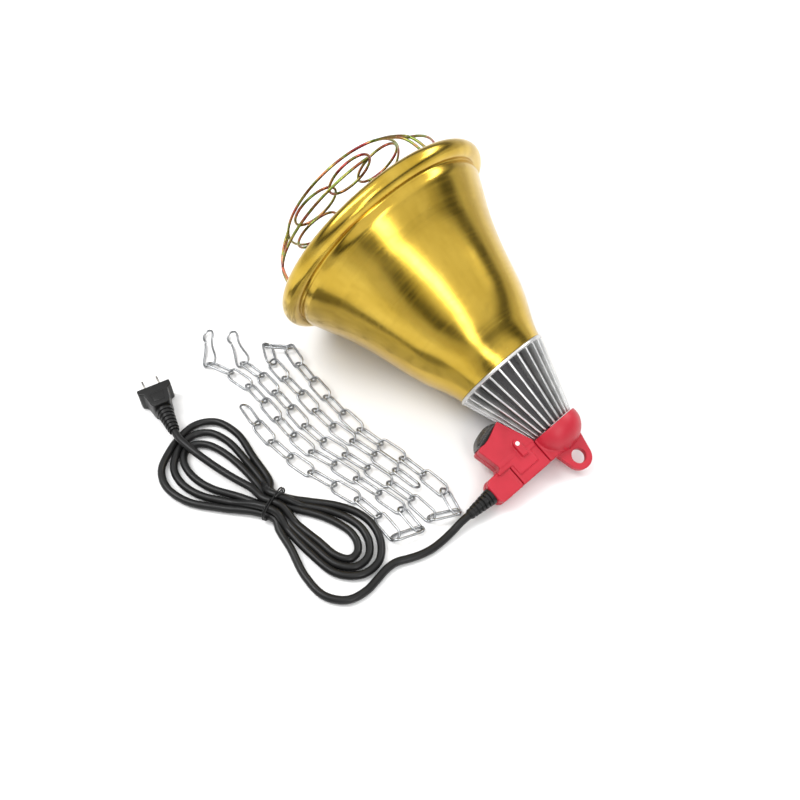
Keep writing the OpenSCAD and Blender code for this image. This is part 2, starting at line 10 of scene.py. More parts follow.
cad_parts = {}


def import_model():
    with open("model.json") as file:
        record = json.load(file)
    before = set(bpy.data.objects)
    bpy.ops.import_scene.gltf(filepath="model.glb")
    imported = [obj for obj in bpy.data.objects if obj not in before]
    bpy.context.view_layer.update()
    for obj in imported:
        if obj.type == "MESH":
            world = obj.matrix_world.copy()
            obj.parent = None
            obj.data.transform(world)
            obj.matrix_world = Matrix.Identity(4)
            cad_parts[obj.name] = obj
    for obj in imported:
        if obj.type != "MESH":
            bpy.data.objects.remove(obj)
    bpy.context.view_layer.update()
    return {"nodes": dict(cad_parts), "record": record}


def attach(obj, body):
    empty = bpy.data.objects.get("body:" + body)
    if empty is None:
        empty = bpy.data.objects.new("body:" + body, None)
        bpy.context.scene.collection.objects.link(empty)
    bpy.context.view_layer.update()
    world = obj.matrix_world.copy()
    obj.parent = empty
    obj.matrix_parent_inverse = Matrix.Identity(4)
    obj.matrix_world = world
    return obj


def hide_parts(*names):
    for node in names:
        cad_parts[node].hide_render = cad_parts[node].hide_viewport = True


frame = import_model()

print("frame loaded")
random.seed(11)

lamp = {"tilt": 21, "roll": 7, "eyelet": 240.3, "rim": 97, "roundRim": 8}  # degrees and mm
turnLamp = (Matrix.Rotation(math.radians(lamp["tilt"]), 4, "Y")
            @ Matrix.Rotation(math.radians(lamp["roll"]), 4, "X"))
eyeletMount = next(m for m in frame["record"]["mounts"] if m["name"] == "hanging_eyelet")
rimMiddle = Vector(eyeletMount["pos_m"]) - turnLamp @ Vector((lamp["eyelet"] / 1000, 0, 0))
lampPlace = Matrix.Translation(rimMiddle) @ turnLamp @ Matrix.Scale(0.001, 4)
floorPlace = Matrix.Translation((rimMiddle.x, rimMiddle.y, 0)) @ Matrix.Scale(0.001, 4)


# camera

camera = {"azimuth": 46.26, "elevation": 51.33, "distance": 701, "aim": (77.8, -55.7, 0), "lens": 36.7}


def makeCamera():
    around, up = math.radians(camera["azimuth"]), math.radians(camera["elevation"])
    back = Vector((math.sin(around) * math.cos(up), -math.cos(around) * math.cos(up), math.sin(up)))
    data = bpy.data.cameras.new("camera")
    data.sensor_width = 36
    data.lens = camera["lens"]
    data.clip_start = 0.01
    eye = bpy.data.objects.new("camera", data)
    bpy.context.collection.objects.link(eye)
    eye.location = floorPlace @ Vector(camera["aim"]) + back * camera["distance"] / 1000
    eye.rotation_mode = "QUATERNION"
    eye.rotation_quaternion = (-back).to_track_quat("-Z", "Y")
    bpy.context.scene.camera = eye


makeCamera()
print("camera set")


# finishes: a Signal is one output socket, and sums on it make the Math nodes

class Signal:
    def __init__(self, finish, socket):
        self.finish, self.socket = finish, socket

    def sum(self, operation, first, second=None):
        return self.finish.node("Math", {"operation": operation}, first, second)

    def __add__(self, other):
        return self.sum("ADD", self, other)

    def __radd__(self, other):
        return self.sum("ADD", other, self)

    def __sub__(self, other):
        return self.sum("SUBTRACT", self, other)

    def __rsub__(self, other):
        return self.sum("SUBTRACT", other, self)

    def __mul__(self, other):
        return self.sum("MULTIPLY", self, other)

    def __rmul__(self, other):
        return self.sum("MULTIPLY", other, self)

    def __truediv__(self, other):
        return self.sum("DIVIDE", self, other)

    def __pow__(self, other):
        return self.sum("POWER", self, other)


class Finish:
    def __init__(self, name, **fixed):
        self.material = bpy.data.materials.new(name)
        self.material.use_nodes = True
        self.tree = self.material.node_tree
        self.shader = self.tree.nodes["Principled BSDF"]
        self.set(**fixed)

    def feed(self, socket, value):
        if isinstance(value, Signal):
            self.tree.links.new(value.socket, socket)
        elif socket.type == "RGBA":
            socket.default_value = (*value[:3], 1)
        else:
            socket.default_value = value

    def set(self, **values):
        sockets = {socket.name.replace(" ", "").lower(): socket for socket in self.shader.inputs}
        for name, value in values.items():
            self.feed(sockets[name.lower()], value)
        return self

    def node(self, kind, settings, *values, out=0, **named):
        made = self.tree.nodes.new("ShaderNode" + kind)
        for key, value in settings.items():
            if key == "stops":
                ramp = made.color_ramp
                while len(ramp.elements) < len(value):
                    ramp.elements.new(0.5)
                for element, (place, colour) in zip(ramp.elements, value):
                    element.position = place
                    element.color = (*colour, 1)
            else:
                setattr(made, key, value)
        for spot, value in [*enumerate(values), *named.items()]:
            if value is not None:
                self.feed(made.inputs[spot], value)
        return Signal(self, made.outputs[out])

    def place(self, name="lay"):
        return self.node("Attribute", {"attribute_name": name}, out="Vector")

    def parts(self, vector):
        split = self.node("SeparateXYZ", {}, vector)
        return [Signal(self, out) for out in split.socket.node.outputs]

    def joined(self, x, y, z):
        return self.node("CombineXYZ", {}, x, y, z)

    def noise(self, vector, scale, detail=3, rough=0.5):
        return self.node("TexNoise", {}, Vector=vector, Scale=scale, Detail=detail, Roughness=rough)

    def ramp(self, value, stops):
        grey = [(p, c if isinstance(c, tuple) else (c, c, c)) for p, c in stops]
        return self.node("ValToRGB", {"stops": grey}, value)

    def span(self, value, low, high, start=0.0, end=1.0):
        return self.node("MapRange", {}, value, low, high, start, end)

    def blend(self, factor, first, second, way="MIX"):
        made = self.node("Mix", {"data_type": "RGBA", "blend_type": way}, factor, out=2)
        self.feed(made.socket.node.inputs[6], first)
        self.feed(made.socket.node.inputs[7], second)
        return made

    def bump(self, height, distance, strength=1.0):
        self.set(normal=self.node("Bump", {}, Strength=strength, Distance=distance, Height=height))
        return self


def world(finish, scale):  # plain place in the part, in units of scale mm
    place = finish.node("TexCoord", {}, out="Object")
    return finish.node("VectorMath", {"operation": "SCALE"}, place, Scale=1000 / scale)


def goldFinish():
    made = Finish("anodisedGold", metallic=1.0)
    x, y, z = made.parts(made.place())
    angle = made.node("Math", {"operation": "ARCTAN2"}, y, z)
    radius = (y * y + z * z) ** 0.5
    spun = made.noise(made.joined(x * 1.3, angle * 0.5, radius * 0.6), 1.0, 2)  # lathe lines
    long = made.noise(made.joined(x * 0.006, y * 0.05, z * 0.05), 1.0, 3)  # faint drawn streaks
    dust = made.noise(world(made, 9), 1.0, 4, 0.6)
    tone = made.ramp(long, [(0.3, (0.46, 0.30, 0.036)), (0.7, (0.60, 0.41, 0.065))])
    made.set(baseColor=made.blend(made.span(dust, 0.55, 0.8, 0.0, 0.35), tone, (0.40, 0.265, 0.035)))
    made.set(roughness=made.span(spun, 0.3, 0.7, 0.17, 0.25) + made.span(dust, 0.5, 0.8, 0, 0.05))
    return made.bump(spun, 0.00006, 0.5).material


def castFinish():
    made = Finish("castAlloy", metallic=0.95)
    place = world(made, 1)
    grain = made.noise(place, 1.9, 4, 0.65)
    patch = made.noise(place, 0.09, 3)
    made.set(baseColor=made.ramp(patch, [(0.3, (0.55, 0.55, 0.55)), (0.7, (0.74, 0.74, 0.73))]))
    made.set(roughness=made.span(grain, 0.3, 0.7, 0.3, 0.46))
    return made.bump(grain, 0.00005, 0.5).material


# same cast alloy as the fins, painted dark: painted shade in the grooves between the fins
def paintedShadeCastFinish():
    made = Finish("castGroovePaintedShade", metallic=0.6)
    grain = made.noise(world(made, 1), 1.4, 4, 0.65)
    made.set(baseColor=made.ramp(grain, [(0.3, (0.035, 0.033, 0.035)), (0.7, (0.09, 0.088, 0.09))]))
    made.set(roughness=made.span(grain, 0.3, 0.7, 0.5, 0.7))
    return made.bump(grain, 0.00006, 0.5).material


def redFinish():
    made = Finish("mouldedRed", specularIorLevel=0.4, subsurfaceWeight=0.04, subsurfaceScale=0.002)
    place = world(made, 1)
    grain = made.noise(place, 3.2, 3, 0.7)
    cloud = made.noise(place, 0.06, 3)
    made.set(baseColor=made.ramp(cloud, [(0.3, (0.40, 0.010, 0.024)), (0.7, (0.47, 0.014, 0.032))]))
    made.set(roughness=made.span(grain, 0.25, 0.75, 0.36, 0.5))
    return made.bump(grain, 0.00003, 0.55).material


def rubberFinish(name, tone, gloss):
    made = Finish(name, specularIorLevel=0.3)
    place = world(made, 1)
    grain = made.noise(place, 2.6, 4, 0.65)
    bloom = made.noise(place, 0.12, 3)
    made.set(baseColor=made.ramp(bloom, [(0.3, (tone, tone, tone)), (0.75, (tone * 1.9,) * 3)]))
    made.set(roughness=made.span(grain, 0.3, 0.7, gloss, gloss + 0.14))
    return made.bump(grain, 0.00004, 0.5).material


def plainFinish(name, colour, metallic, rough, grainSize=2.0, depth=0.00003):
    made = Finish(name, metallic=metallic)
    place = world(made, 1)
    grain = made.noise(place, grainSize, 4, 0.6)
    patch = made.noise(place, 0.15, 2)
    darker = tuple(c * 0.82 for c in colour)
    made.set(baseColor=made.ramp(patch, [(0.35, darker), (0.65, tuple(colour))]))
    made.set(roughness=made.span(grain, 0.3, 0.7, rough, rough + 0.12))
    return made.bump(grain, depth, 0.45).material


def passivatedFinish():  # thin yellow zinc film that shifts between straw, green and rose
    made = Finish("yellowZinc", metallic=1.0)
    film = made.noise(world(made, 24), 1.0, 2, 0.4)
    fine = made.noise(world(made, 2), 1.0, 3)
    tone = made.ramp(film, [(0.34, (0.30, 0.05, 0.05)), (0.44, (0.36, 0.17, 0.07)),
                            (0.5, (0.16, 0.22, 0.05)),
                            (0.56, (0.30, 0.26, 0.07)), (0.66, (0.32, 0.07, 0.06))])
    made.set(baseColor=tone, roughness=made.span(fine, 0.3, 0.7, 0.2, 0.34))
    return made.bump(fine, 0.00003, 0.4).material


def sealFinish():
    made = Finish("smokedSeal", transmissionWeight=0.35, ior=1.42)
    grain = made.noise(world(made, 1), 2.0, 3)
    made.set(baseColor=made.ramp(grain, [(0.3, (0.055, 0.05, 0.048)), (0.7, (0.10, 0.092, 0.088))]))
    made.set(roughness=made.span(grain, 0.3, 0.7, 0.16, 0.3))
    return made.bump(grain, 0.00004, 0.4).material


finishes = {
    "gold_sheet": goldFinish(), "cast_alloy": castFinish(), "groove": paintedShadeCastFinish(),
    "yellow_zinc": passivatedFinish(), "red_plastic": redFinish(), "clear_rubber": sealFinish(),
    "zinc_steel": plainFinish("platedSteel", (0.66, 0.66, 0.65), 1.0, 0.3),
    "zinc_wire": plainFinish("brightZinc", (0.37, 0.38, 0.39), 1.0, 0.2, 1.2, 0.00005),
    "nickel": plainFinish("nickel", (0.74, 0.71, 0.66), 1.0, 0.18),
    "brass": plainFinish("brass", (0.72, 0.52, 0.22), 1.0, 0.26),
    "porcelain": plainFinish("porcelain", (0.86, 0.85, 0.80), 0.0, 0.12, 0.6),
    "black_plastic": rubberFinish("blackPlastic", 0.007, 0.28),
    "black_rubber": rubberFinish("blackRubber", 0.0045, 0.3),
    "pale_plastic": plainFinish("palePlastic", (0.80, 0.80, 0.77), 0.0, 0.4),
    "lead_brown": plainFinish("brownLead", (0.20, 0.08, 0.03), 0.0, 0.4),
    "lead_blue": plainFinish("blueLead", (0.04, 0.13, 0.42), 0.0, 0.4),
}
print("finishes made")


# making of meshes, all in mm in the lamp's or the floor's own place

def finished(name, verts, faces, place, slot, body, replaces=(), finish=None, smooth=35):
    mesh = bpy.data.meshes.new(name)
    mesh.from_pydata([tuple(v) for v in verts], [], [tuple(f) for f in faces])
    shape = bmesh.new()
    shape.from_mesh(mesh)
    bmesh.ops.recalc_face_normals(shape, faces=shape.faces)
    shape.to_mesh(mesh)
    shape.free()
    return placed(name, mesh, place, slot, body, replaces, finish, smooth)


def placed(name, mesh, place, slot, body, replaces=(), finish=None, smooth=35):
    lay = mesh.attributes.new("lay", "FLOAT_VECTOR", "POINT")
    lay.data.foreach_set("vector", [c for v in mesh.vertices for c in v.co])
    mesh.transform(place)
    piece = bpy.data.objects.new(name, mesh)
    bpy.context.collection.objects.link(piece)
    mesh.materials.append(finishes[finish or slot])
    mesh.shade_smooth()
    if smooth < 180:
        mesh.set_sharp_from_angle(angle=math.radians(smooth))
    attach(piece, body)
    if replaces:
        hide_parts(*replaces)
    return piece


def merged(shapes):
    verts, faces = [], []
    for v, f in shapes:
        start = len(verts)
        verts += [tuple(p) for p in v]
        faces += [tuple(start + i for i in face) for face in f]
    return verts, faces


def moved(shape, matrix):
    return [matrix @ Vector(v) for v in shape[0]], shape[1]


def spun(profile, steps=96, closed=True, axis="X"):  # profile of (along, radius)
    count = len(profile)
    verts = []
    for k in range(steps):
        a = 2 * math.pi * k / steps
        for x, r in profile:
            verts.append((x, r * math.cos(a), r * math.sin(a)) if axis == "X"
                         else (r * math.cos(a), r * math.sin(a), x))
    last = count if closed else count - 1
    faces = [(k * count + i, k * count + (i + 1) % count, (k + 1) % steps * count + (i + 1) % count,
              (k + 1) % steps * count + i) for k in range(steps) for i in range(last)]
    return verts, faces


def swept(path, radius, sides=16, closed=False):
    path = np.array(path, float)
    count = len(path)
    if closed:
        ahead = np.roll(path, -1, 0) - np.roll(path, 1, 0)
    else:
        ahead = np.gradient(path, axis=0)
    ahead /= np.linalg.norm(ahead, axis=1)[:, None]
    side = np.cross(ahead[0], (0.13, 0.21, 0.97))
    side /= np.linalg.norm(side)
    sideways = []
    for t in ahead:
        side = side - t * side.dot(t)
        side /= np.linalg.norm(side)
        sideways.append(side)
    sideways = np.array(sideways)
    if closed:  # spread the twist left at the join over the whole loop
        end = sideways[-1] - ahead[0] * sideways[-1].dot(ahead[0])
        twist = math.atan2(np.cross(end, sideways[0]).dot(ahead[0]), end.dot(sideways[0]))
        turns = twist * np.arange(count) / (count - 1)
    else:
        turns = np.zeros(count)
    other = np.cross(ahead, sideways)
    sizes = radius * np.ones(count) if np.isscalar(radius) else np.array(radius)
    verts = []
    for i in range(count):
        for k in range(sides):
            a = 2 * math.pi * k / sides + turns[i]
            verts.append(path[i] + sizes[i] * (math.cos(a) * sideways[i] + math.sin(a) * other[i]))
    rows = count if closed else count - 1
    faces = [(i * sides + k, i * sides + (k + 1) % sides, (i + 1) % count * sides + (k + 1) % sides,
              (i + 1) % count * sides + k) for i in range(rows) for k in range(sides)]
    if not closed:
        faces += [tuple(range(sides)), tuple(range((count - 1) * sides, count * sides))]
    return verts, faces


def slab(outline, low, high, edge=0.8, rounds=3):  # flat plate with rounded edges
    shape = bmesh.new()
    ring = [shape.verts.new((x, y, low)) for x, y in outline]
    bottom = shape.faces.new(ring)
    top = bmesh.ops.extrude_face_region(shape, geom=[bottom])["geom"]
    bmesh.ops.translate(shape, verts=[g for g in top if isinstance(g, bmesh.types.BMVert)],
                        vec=(0, 0, high - low))
    bmesh.ops.recalc_face_normals(shape, faces=shape.faces)
    if edge:
        sharp = [e for e in shape.edges if e.calc_face_angle(0) > 0.5]
        bmesh.ops.bevel(shape, geom=sharp, offset=edge, segments=rounds, profile=0.5,
                        affect="EDGES", clamp_overlap=True)
    shape.verts.index_update()
    result = [v.co.copy() for v in shape.verts], [[v.index for v in f.verts] for f in shape.faces]
    shape.free()
    return result


def smoothLine(points, gap, closed=False):  # even points along a soft curve through the given ones
    p = np.array(points, float)
    n = len(p)
    line = []
    for i in range(n if closed else n - 1):
        pick = [(i + k) % n if closed else min(max(i + k, 0), n - 1) for k in (-1, 0, 1, 2)]
        a, b, c, d = p[pick]
        if not closed and i == 0:
            a = 2 * b - c
        if not closed and i == n - 2:
            d = 2 * c - b
        gaps = [max(np.linalg.norm(v - u), 1e-6) for u, v in ((a, b), (b, c), (c, d))]
        knots = np.cumsum([0, *(g ** 0.5 for g in gaps)])
        for t in np.linspace(knots[1], knots[2], 24, endpoint=False):
            ab = a + (b - a) * (t - knots[0]) / (knots[1] - knots[0])
            bc = b + (c - b) * (t - knots[1]) / (knots[2] - knots[1])
            cd = c + (d - c) * (t - knots[2]) / (knots[3] - knots[2])
            abc = ab + (bc - ab) * (t - knots[0]) / (knots[2] - knots[0])
            bcd = bc + (cd - bc) * (t - knots[1]) / (knots[3] - knots[1])
            line.append(abc + (bcd - abc) * (t - knots[1]) / (knots[2] - knots[1]))
    line.append(p[0] if closed else p[-1])
    line = np.array(line)
    run = np.concatenate([[0], np.cumsum(np.linalg.norm(np.diff(line, axis=0), axis=1))])
    count = max(int(run[-1] / gap), 2)
    even = np.linspace(0, run[-1], count + 1)
    even = even[:-1] if closed else even
    return np.stack([np.interp(even, run, line[:, k]) for k in range(line.shape[1])], axis=1)


def arc(x, y, r, start, end, steps=12):
    return [(x + r * math.cos(math.radians(start + (end - start) * k / steps)),
             y + r * math.sin(math.radians(start + (end - start) * k / steps))) for k in range(steps + 1)]


# supply cord: out of the arm, three turns of a two-lobed hank, then to the plug

supplyCord = {
    "diameter": 6.2, "exit": (219.1, -101, 0), "leadOut": 8,
    "run": [(199.9, -118, 5.2), (199.7, -128, 3.6), (199, -138, 3.3), (196.5, -148, 3.3),
            (192.5, -157, 3.3), (188.5, -165, 3.3), (187.5, -174, 3.3), (189, -185, 3.3),
            (190, -197, 3.3), (186, -211, 3.3), (172, -221, 3.3), (150, -221, 3.3),
            (126, -214.5, 3.3), (108, -211, 3.6)],
    "farLobe": [(62, -231), (38, -247), (16, -251), (0, -245), (-10, -232), (-17, -216), (-19, -199),
                (-10, -185), (12, -179.5), (40, -184), (68, -189)],
    "nearFarLobe": [(63, -215), (42, -226), (26, -230), (12, -229.5), (3, -226), (-2.5, -219.5), (-3, -212),
                    (3, -205), (15, -200), (38, -197), (66, -198)],
    "cordLobe": [(103, -179), (121, -165.5), (137, -158), (152, -156.5), (168, -162), (179, -174),
                 (178.5, -190), (165, -203), (140, -206.5), (112, -206)],
    "nearCordLobe": [(104, -189), (120, -180), (134, -175), (147, -173), (157, -175.5), (163, -181.5),
                     (162.5, -188.5), (153, -194), (136, -195.5), (112, -198)],
    "tail": [(66, -204.5, 7.8), (48, -208.5, 6.2), (30, -212.5, 6.6), (12, -216.3, 8.8), (-2, -218.2, 9.9),
             (-12, -218.6, 10.1), (-21.5, -216.9, 10)],
    "waist": (88, -201), "waistTurn": 22, "waistHalf": 8, "low": 4.5, "high": 9.6, "turns": 3,
}


def throughWaist(offset, height, forwards):
    turn = math.radians(supplyCord["waistTurn"])
    x, y = supplyCord["waist"]
    way = supplyCord["waistHalf"] * (1 if forwards else -1)
    return [(x - offset * math.sin(turn) + s * way * math.cos(turn),
             y + offset * math.cos(turn) + s * way * math.sin(turn), height) for s in (-1, 1)]


def between(outer, inner, share, height=3.3):
    return [(a[0] + (b[0] - a[0]) * share, a[1] + (b[1] - a[1]) * share, height)
            for a, b in zip(outer, inner)]


def cordPath():
    c = supplyCord
    start = floorPlace.inverted() @ lampPlace @ Vector(c["exit"])
    ahead = turnLamp.to_3x3() @ Vector((0, -1, 0))
    points = [start, start + ahead * c["leadOut"], *c["run"]]
    for k in range(c["turns"]):
        share = k / (c["turns"] - 1)
        height = c["high"] if k % 2 else c["low"]
        offset = 10.5 - 3.5 * k
        points += throughWaist(-offset, height, False)
        points += between(c["farLobe"], c["nearFarLobe"], share)
        points += throughWaist(offset, height, True)
        points += between(c["cordLobe"], c["nearCordLobe"], share)
    points += throughWaist(0, c["high"], False)
    points += c["tail"]
    line = smoothLine(points, 2.4)
    line[:, 2] = np.maximum(line[:, 2], c["diameter"] / 2 + 0.05)
    return line


def curveTube(name, path, place, thick, slot, body, replaces=(), sides=4):
    data = bpy.data.curves.new(name, "CURVE")
    data.dimensions = "3D"
    data.bevel_depth = thick / 2000
    data.bevel_resolution = sides
    data.use_fill_caps = True
    spline = data.splines.new("POLY")
    spline.points.add(len(path) - 1)
    for point, p in zip(spline.points, path):
        point.co = (*(place @ Vector(p)), 1)
    spline.use_smooth = True
    piece = bpy.data.objects.new(name, data)
    bpy.context.collection.objects.link(piece)
    data.materials.append(finishes[slot])
    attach(piece, body)
    if replaces:
        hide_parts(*replaces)
    return piece


cordLine = cordPath()
cordLength = float(np.linalg.norm(np.diff(cordLine, axis=0), axis=1).sum()) / 1000
cord = curveTube("cord", cordLine, floorPlace, supplyCord["diameter"], "black_rubber", "fixture",
                 ["supply_cord", "cord_hank"], 5)
print("cord laid,", round(cordLength, 3), "m")


# plug at the cord's far end, its sleeve's tip at the place's origin and its blades along +X

plug = {"tip": (-20.5, -217.2, 10), "turn": 166, "length": 48, "pitch": 12.7, "thick": 19}
plugPlace = (floorPlace @ Matrix.Translation(plug["tip"])
             @ Matrix.Rotation(math.radians(plug["turn"]), 4, "Z"))


def makePlug():
    end = plug["length"]
    half = [(25.3, 6.9), (29, 8.4), (36, 9.3), (40.5, 10.4), (42.4, 13.6), (43.4, 14.2), (end, 14.2)]
    outline = [*((x, -y) for x, y in half), *((x, y) for x, y in reversed(half))]
    body = slab(outline, -plug["thick"] / 2, plug["thick"] / 2, 2.4, 5)
    waist = slab([(29, -4.6), (39, -6), (39, 6), (29, 4.6)],
                 plug["thick"] / 2 - 1, plug["thick"] / 2 + 0.5, 0.7)
    under = moved(waist, Matrix.Rotation(math.pi, 4, "X"))
    profile = [(0, 3.3), (0, 4.2), (1.2, 4.5)]
    for k in range(6):  # ribbed sleeve
        x = 2.4 + k * 3.7
        r = 4.7 + k * 0.42
        profile += [(x, r - 0.9), (x + 0.4, r + 0.15), (x + 2.2, r + 0.3), (x + 2.6, r - 0.6)]
    profile += [(26, 6.6), (28, 6.6), (28, 0.1), (0.6, 0.1)]
    sleeve = spun(profile, 48)
    verts, faces = merged([body, waist, under, sleeve])
    shell = finished("plugBody", verts, faces, plugPlace, "black_rubber", "fixture", ["plug_body"])
    blades = []
    for side in (-1, 1):
        y = side * plug["pitch"] / 2
        flat = slab([(0, -3.15), (19.5, -3.15), (22.3, -1.7), (22.3, 1.7), (19.5, 3.15), (0, 3.15)],
                    -0.75, 0.75, 0.25, 2)
        blades.append(moved(flat, Matrix.Translation((end - 7, y, 0))
                            @ Matrix.Rotation(math.pi / 2, 4, "X")))
        rivet = spun([(-0.82, 0.05), (-0.82, 1.2), (-0.7, 1.35),
                      (0.7, 1.35), (0.82, 1.2), (0.82, 0.05)], 20)
        blades.append(moved(rivet, Matrix.Translation((end + 12.5, y, 0))
                            @ Matrix.Rotation(math.pi / 2, 4, "Z")))
    verts, faces = merged(blades)
    metal = finished("plugBlades", verts, faces, plugPlace, "nickel", "fixture", ["plug_blades"])
    return shell, metal


plugBody, plugBlades = makePlug()


# thin tie round the hank's waist, wound twice, with a small twisted ear

tie = {"wire": 1.3, "half": 14.4, "top": 13.8}


def makeTie():
    place = (floorPlace @ Matrix.Translation((*supplyCord["waist"], 0))
             @ Matrix.Rotation(math.radians(supplyCord["waistTurn"]), 4, "Z"))
    half, top = tie["half"], tie["top"]
    points = []
    for lap in range(2):
        x = -1.2 + 1.7 * lap
        for k in range(16):
            a = 2 * math.pi * k / 16 + math.pi / 2
            squash = (abs(math.cos(a)) ** 3.2 + abs(math.sin(a)) ** 3.2) ** (-1 / 3.2)
            points.append((x + 1.7 * k / 16, half * squash * math.cos(a),
                           (top + 0.7) / 2 + (top - 0.7) / 2 * squash * math.sin(a)))
    points += [(1.8, 2.5, top + 0.5), (3.5, 6.5, top + 1.6), (6, 8.5, top + 1.2), (5, 11, top + 0.6)]
    verts, faces = swept(smoothLine(points, 0.8), tie["wire"] / 2, 10)
    return finished("tie", verts, faces, place, "black_plastic", "fixture", ["hank_tie"])


tiePiece = makeTie()
print("plug and tie made")


# spun bell with its rolled rim

bell = {"length": 147, "sheet": 1.2, "steps": 256, "collarBore": 25,
        "line": [(7.6, 93.8), (10.5, 93.6), (14, 93.2), (19.1, 90.8), (29, 86), (41.2, 80), (53, 75),
                 (66.2, 70.2), (79, 66.2), (91.1, 62.6), (103, 59), (114.7, 54.7), (124, 50.6),
                 (132.3, 46.6), (140, 43.4), (147, 41.1)]}


def makeBell():
    outer = smoothLine(bell["line"][::-1], 1.5)
    rim = lamp["rim"]
    roll = [(lamp["roundRim"] * math.cos(math.radians(a)),
             rim + lamp["roundRim"] * math.sin(math.radians(a))) for a in range(-22, 320, 6)]
    inner = [(x, r - bell["sheet"]) for x, r in outer[::-1]]
    inner[-1] = (inner[-1][0] - bell["sheet"], inner[-1][1])
    back = [(bell["length"] - bell["sheet"], bell["collarBore"]), (bell["length"], bell["collarBore"])]
    verts, faces = spun([*map(tuple, outer), *roll, *inner, *back], bell["steps"])
    return finished("bell", verts, faces, lampPlace, "gold_sheet", "fixture", ["reflector_bell"], smooth=50)


makeBell()
print("bell made")


# cast collar with straight fins

collar = {"front": 147.3, "plate": 150, "rear": 208.4, "frontRadius": 42, "rearRadius": 20.4, "fins": 27,
          "fin": 1.7, "gap": 8}


def makeCollar():
    c = collar
    fins = []
    slope = (c["frontRadius"] - c["rearRadius"]) / (c["rear"] - c["plate"])
    for k in range(c["fins"]):
        outline = [(c["plate"] - 1, c["frontRadius"] - c["gap"] - 2),
                   (c["plate"] - 1, c["frontRadius"] - 0.3),
                   (c["rear"] - 0.2, c["rearRadius"]), (c["rear"] - 0.2, c["rearRadius"] - 5.5)]
        wide = c["fin"] * random.uniform(0.94, 1.06)
        fin = moved(slab(outline, -wide / 2, wide / 2, 0.42, 3), Matrix.Rotation(math.pi / 2, 4, "X"))
        fins.append(moved(fin, Matrix.Rotation(2 * math.pi * k / c["fins"], 4, "X")))
    lip = [(c["front"] + 0.1, 27), (c["front"], c["frontRadius"] - 0.6),
           (c["front"] + 0.25, c["frontRadius"] - 0.1),
           (c["front"] + 0.7, c["frontRadius"] + 0.2), (c["plate"] - 0.8, c["frontRadius"] + 0.2),
           (c["plate"] - 0.3, c["frontRadius"]), (c["plate"], c["frontRadius"] - 0.5), (c["plate"], 27)]
    verts, faces = merged([spun(lip, 192), *fins])
    finished("collarFins", verts, faces, lampPlace, "cast_alloy", "fixture", ["finned_collar"], smooth=40)
    rootLine = [(c["plate"] - 0.5, 29), (c["plate"] - 0.5, c["frontRadius"] - c["gap"]),
                (c["plate"] + 1, c["frontRadius"] - c["gap"] - slope),
                (c["rear"] - 0.5, c["rearRadius"] - 3.6), (c["rear"] - 0.5, 6.5), (c["rear"] - 2.5, 6.5),
                (c["rear"] - 2.5, c["rearRadius"] - 6), (c["plate"] + 2, 30)]
    verts, faces = spun(rootLine, 128)
    # the core between the fins takes the dark finish, painted shade at the fin roots
    finished("collarCore", verts, faces, lampPlace, "cast_alloy", "fixture", finish="groove")


makeCollar()
print("collar made")


# red end housing: moulded cap, eyelet, arm and switch box, then the covers over them

housing = {"capMiddle": 212, "capLong": 19.4, "capRadius": 23.05, "capFront": 208.7, "armFront": 208.7,
           "armBack": 229.4, "armEnd": -77, "half": 7.9, "boxHalf": 8.9, "seam": 0.22, "voxel": 0.55}
boxFront = [(178.2, -36.2), (180.4, -41.5), (183.0, -47), (184.9, -52), (185.9, -56.5), (185.6, -60.5),
            (186.4, -63.6)]


def evaluated(piece):
    mesh = bpy.data.meshes.new_from_object(piece.evaluated_get(bpy.context.evaluated_depsgraph_get()))
    bpy.data.objects.remove(piece)
    return mesh


def softUnion(shapes, voxel, passes):  # one moulding with blended corners
    verts, faces = merged(shapes)
    mesh = bpy.data.meshes.new("moulding")
    mesh.from_pydata([tuple(v) for v in verts], [], faces)
    piece = bpy.data.objects.new("moulding", mesh)
    bpy.context.collection.objects.link(piece)
    melt = piece.modifiers.new("melt", "REMESH")
    melt.mode = "VOXEL"
    melt.voxel_size = voxel
    melt.adaptivity = 0
    ease = piece.modifiers.new("ease", "SMOOTH")
    ease.factor = 0.5
    ease.iterations = passes
    return evaluated(piece)


def armOutline(nearEnd, farEnd):
    h = housing
    return [(h["armBack"], nearEnd), (h["armBack"], farEnd + 3), (h["armBack"] - 3, farEnd),
            (h["armFront"] + 3, farEnd), (h["armFront"], farEnd + 4), (h["armFront"], nearEnd)]


def boxOutline():
    heel = [(206, -60.2), (207.6, -60.8), (208.6, -62.2), (209.2, -64.5), (212, -64.5)]
    return [*boxFront, (188, -64.4), (196, -62.4), *heel, (212, -24.4), (209.5, -24.2), (207.5, -23.2)]


def capShell():
    h = housing
    line = [(h["capMiddle"] + h["capLong"] * math.sin(math.radians(a)),
             h["capRadius"] * math.cos(math.radians(a))) for a in range(-10, 90, 4)]
    line = [(max(x, h["capFront"]), r) for x, r in line] + [(h["capMiddle"] + h["capLong"], 0.05)]
    return spun([*line, (h["capFront"], 0.05)], 128)


